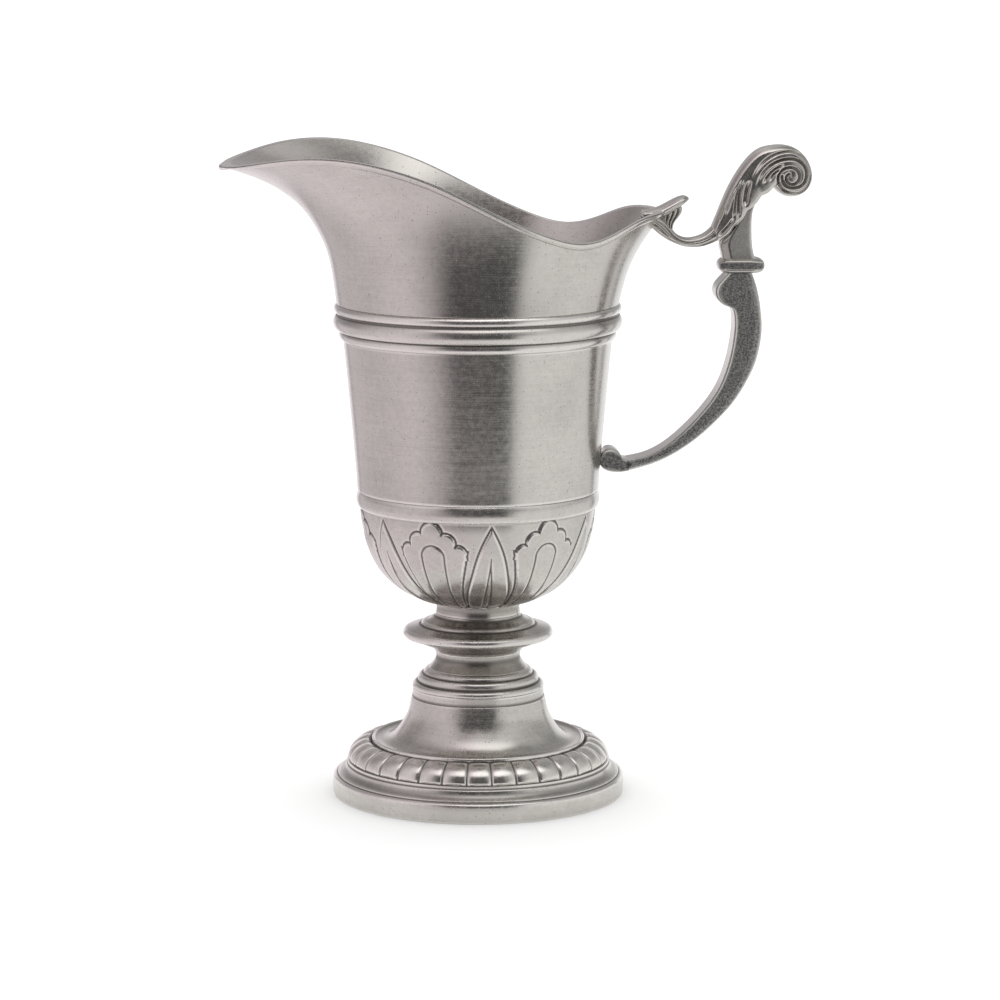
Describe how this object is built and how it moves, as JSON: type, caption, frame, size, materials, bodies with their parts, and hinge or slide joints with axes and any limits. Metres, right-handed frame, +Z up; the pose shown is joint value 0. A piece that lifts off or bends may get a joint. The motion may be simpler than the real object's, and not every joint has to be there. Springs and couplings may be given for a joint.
{
  "type": "water pitcher",
  "caption": "Helmet-shaped pewter water pitcher with a broad pouring lip, scrolled handle, leaf bowl, disc knop and gadrooned pedestal foot.",
  "frame": {"origin": "centre of the foot's underside, on the table", "axes": "+Z up along the stem, +X towards the handle, -X towards the pouring lip, +Y across the pitcher"},
  "size_m": [0.2269, 0.1258, 0.2505],
  "materials": {
    "satin_pewter": "satin pewter, turned and lightly brushed",
    "patinated_pewter": "satin pewter with dark patina in the recesses of the relief",
    "sand_cast_pewter": "dark sand-textured cast pewter with polished edges"
  },
  "bodies": {
    "root": {"foot_plinth": "satin_pewter", "gadroon_ring": "patinated_pewter", "foot_bell": "satin_pewter", "stem_steps": "satin_pewter", "lower_reel": "satin_pewter", "knop": "satin_pewter", "upper_reel": "satin_pewter", "leaf_bowl": "patinated_pewter", "lower_band": "satin_pewter", "barrel": "satin_pewter", "belly_band": "satin_pewter", "neck": "satin_pewter", "rim_bead": "satin_pewter", "thumb_leaf": "patinated_pewter", "upper_arm": "patinated_pewter", "acanthus_scroll": "patinated_pewter", "handle_post": "sand_cast_pewter", "handle_collar": "satin_pewter", "lower_arm": "sand_cast_pewter", "tail_scroll": "sand_cast_pewter"}
  },
  "joints": []
}
